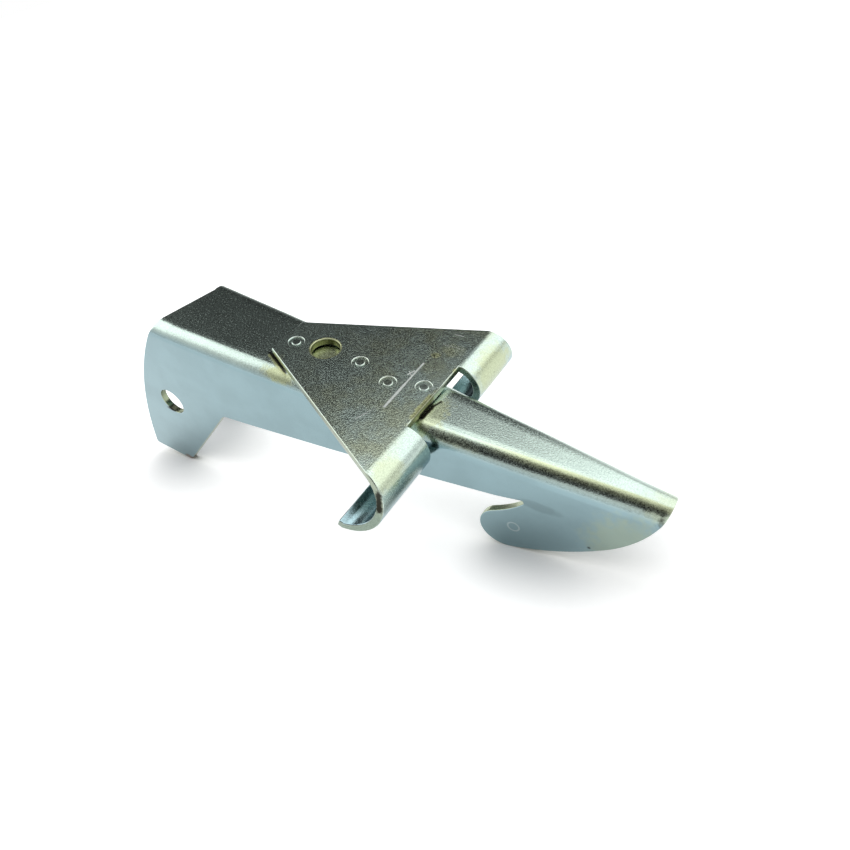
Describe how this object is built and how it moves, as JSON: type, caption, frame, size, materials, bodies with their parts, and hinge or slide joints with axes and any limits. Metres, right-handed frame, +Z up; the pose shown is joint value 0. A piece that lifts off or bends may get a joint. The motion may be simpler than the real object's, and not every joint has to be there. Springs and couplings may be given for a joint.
{
  "type": "bonnet safety catch",
  "caption": "Pressed steel bonnet safety catch: tapered channel arm with pivot ears, hook blade and welded finger plate with curled wings.",
  "frame": {"origin": "middle of the pivot bore's axis, halfway between the two ears", "axes": "+X from the pivot towards the nose, level as the part rests; +Y across the part, away from the hook's side; +Z up"},
  "size_m": [0.1653, 0.0651, 0.0533],
  "materials": {
    "arm_zinc": "bright zinc plate with a clear passivate, light scuffs",
    "plate_zinc": "bright zinc plate with a clear passivate, scratched, yellow stains at the edges"
  },
  "bodies": {
    "root": {"catch_arm": "arm_zinc", "finger_plate": "plate_zinc"}
  },
  "joints": []
}
